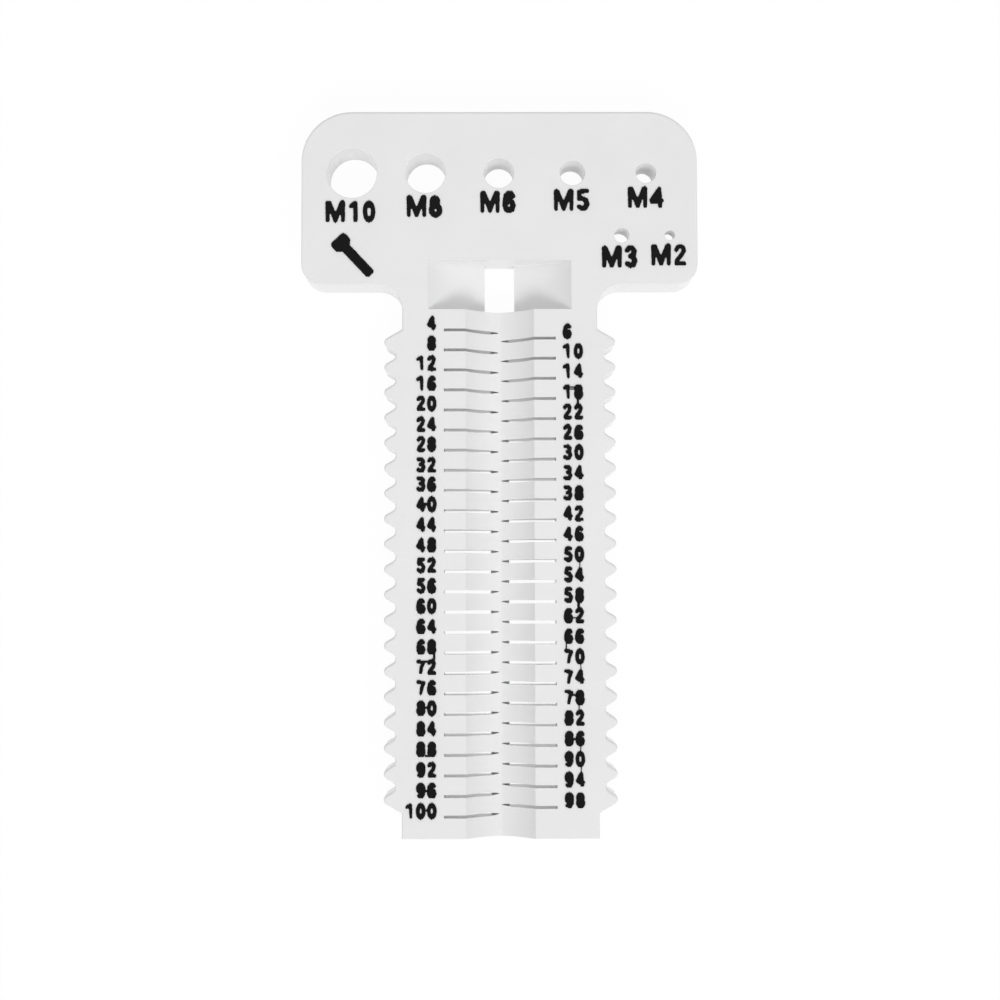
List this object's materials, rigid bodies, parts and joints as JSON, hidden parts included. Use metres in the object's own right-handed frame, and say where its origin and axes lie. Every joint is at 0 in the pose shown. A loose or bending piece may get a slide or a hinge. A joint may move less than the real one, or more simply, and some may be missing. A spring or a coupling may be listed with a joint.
{
  "type": "thread gauge ruler",
  "caption": "Flat T-shaped gauge for bolts, with sizing holes in its head, a pocket and V-groove beside a slit length scale, and thread-form teeth along its edges.",
  "frame": {"origin": "on the back face, under the middle of the plate's outline", "axes": "+Y along the length scale towards the head, +Z out of the marked face, +X to the right when the face is read with the head away"},
  "size_m": [0.079, 0.144, 0.009],
  "materials": {
    "white_plastic": "white printed plastic with fine layer lines",
    "black_plastic": "black printed plastic, matt"
  },
  "bodies": {
    "root": {"gauge_plate": "white_plastic"}
  },
  "joints": []
}
